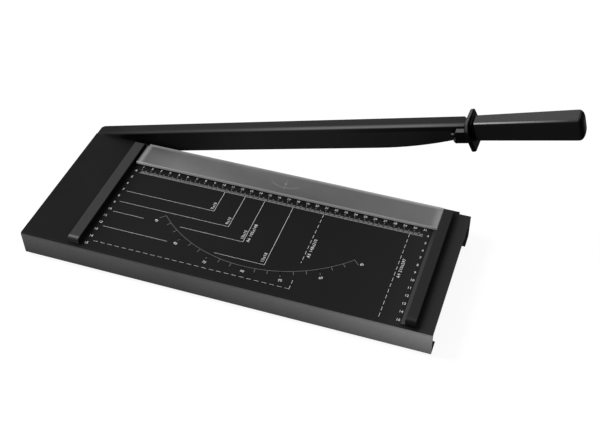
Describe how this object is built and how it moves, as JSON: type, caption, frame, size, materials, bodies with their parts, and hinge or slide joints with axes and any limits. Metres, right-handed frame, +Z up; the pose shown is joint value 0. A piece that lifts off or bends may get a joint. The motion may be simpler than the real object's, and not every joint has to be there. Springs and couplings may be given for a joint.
{
  "type": "paper cutter",
  "caption": "Desk guillotine: folded sheet-steel table with side rails, clear finger guard and rear counter knife, and a pivoting lever with a curved blade, hand guard and grip.",
  "frame": {"origin": "middle of the table's footprint, in the plane of the feet's undersides", "axes": "+X along the cut from the pivot towards the handle, +Y from the operator's edge towards the knife, +Z up; the lever stands raised 15.45 degrees, as in the picture"},
  "size_m": [0.5008, 0.1854, 0.1675],
  "materials": {
    "table_paint": "satin black powder coat",
    "lever_paint": "semi-gloss black paint",
    "black_steel": "blackened ground steel",
    "zinc_steel": "zinc plated",
    "rail_plastic": "matt dark grey",
    "handle_plastic": "satin black",
    "smoked_acrylic": "clear, lightly smoked, with bright cut edges",
    "foot_rubber": "matt black",
    "bush_bronze": "plain bearing bronze"
  },
  "bodies": {
    "table": {"base_plate": "table_paint", "counter_knife": "black_steel", "counter_knife_screws": "zinc_steel", "left_rail": "rail_plastic", "right_rail": "rail_plastic", "rail_screws": "zinc_steel", "finger_guard": "smoked_acrylic", "guard_screws": "zinc_steel", "foot_front_left": "foot_rubber", "foot_front_right": "foot_rubber", "foot_rear_left": "foot_rubber", "foot_rear_right": "foot_rubber", "pivot_plate": "zinc_steel", "pivot_bolt": "zinc_steel", "outer_washer": "zinc_steel", "inner_washer": "zinc_steel", "spring_washer": "zinc_steel", "pivot_nut": "zinc_steel"},
    "lever": {"arm_bar": "lever_paint", "blade": "black_steel", "blade_screws": "zinc_steel", "pivot_bush": "bush_bronze", "handle_tang": "zinc_steel", "tang_screws": "zinc_steel", "hand_guard": "handle_plastic", "handle_grip": "handle_plastic", "grip_screw": "zinc_steel", "stop_nose": "handle_plastic", "nose_screw": "black_steel"}
  },
  "joints": [
    {"name": "lever_pivot", "type": "hinge", "parent": "table", "child": "lever", "pos_m": [-0.1875, 0.0894, 0.019], "axis": [0, -1, 0], "range_deg": [-13.42, 44.55]}
  ]
}
